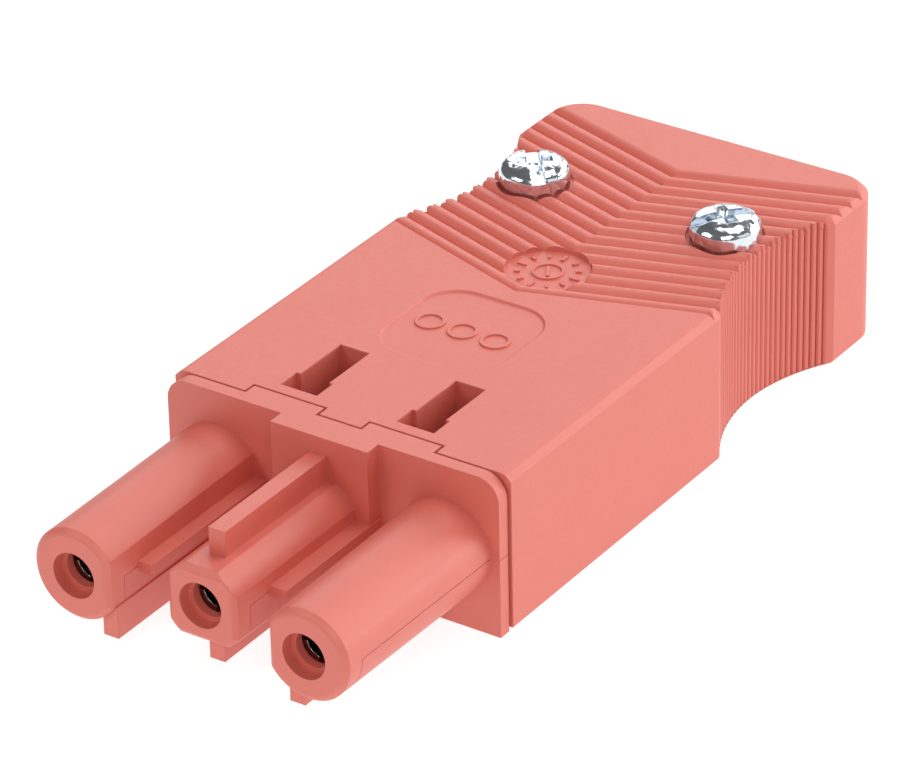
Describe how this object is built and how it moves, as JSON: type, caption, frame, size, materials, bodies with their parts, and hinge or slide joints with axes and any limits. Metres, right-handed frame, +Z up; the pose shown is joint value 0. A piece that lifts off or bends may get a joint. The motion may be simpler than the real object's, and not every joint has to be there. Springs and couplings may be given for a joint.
{
  "type": "female power connector",
  "caption": "Socket half of a pluggable installation power connector with insulated tubes, ribbed hood, screw terminals and cable strain relief.",
  "frame": {"origin": "middle of the length and width of the connector, on its flat underside", "axes": "+X across the poles to the right, +Y from the socket mouths to the cable inlet, +Z up through the ribbed face"},
  "size_m": [0.0296, 0.072, 0.0147],
  "materials": {
    "coral_plastic": "fine matt moulded",
    "contact_brass": "turned",
    "spring_steel": "bright",
    "zinc_steel": "bright zinc plated"
  },
  "bodies": {
    "root": {"hood": "coral_plastic", "carrier_upper": "coral_plastic", "carrier_lower": "coral_plastic", "cable_clamp": "coral_plastic", "contact_left": "contact_brass", "spring_left": "spring_steel", "terminal_left": "contact_brass", "terminal_screw_left": "zinc_steel", "wire_plate_left": "spring_steel", "contact_middle": "contact_brass", "spring_middle": "spring_steel", "terminal_middle": "contact_brass", "terminal_screw_middle": "zinc_steel", "wire_plate_middle": "spring_steel", "contact_right": "contact_brass", "spring_right": "spring_steel", "terminal_right": "contact_brass", "terminal_screw_right": "zinc_steel", "wire_plate_right": "spring_steel", "clamp_screw_left": "zinc_steel", "clamp_screw_right": "zinc_steel"}
  },
  "joints": []
}
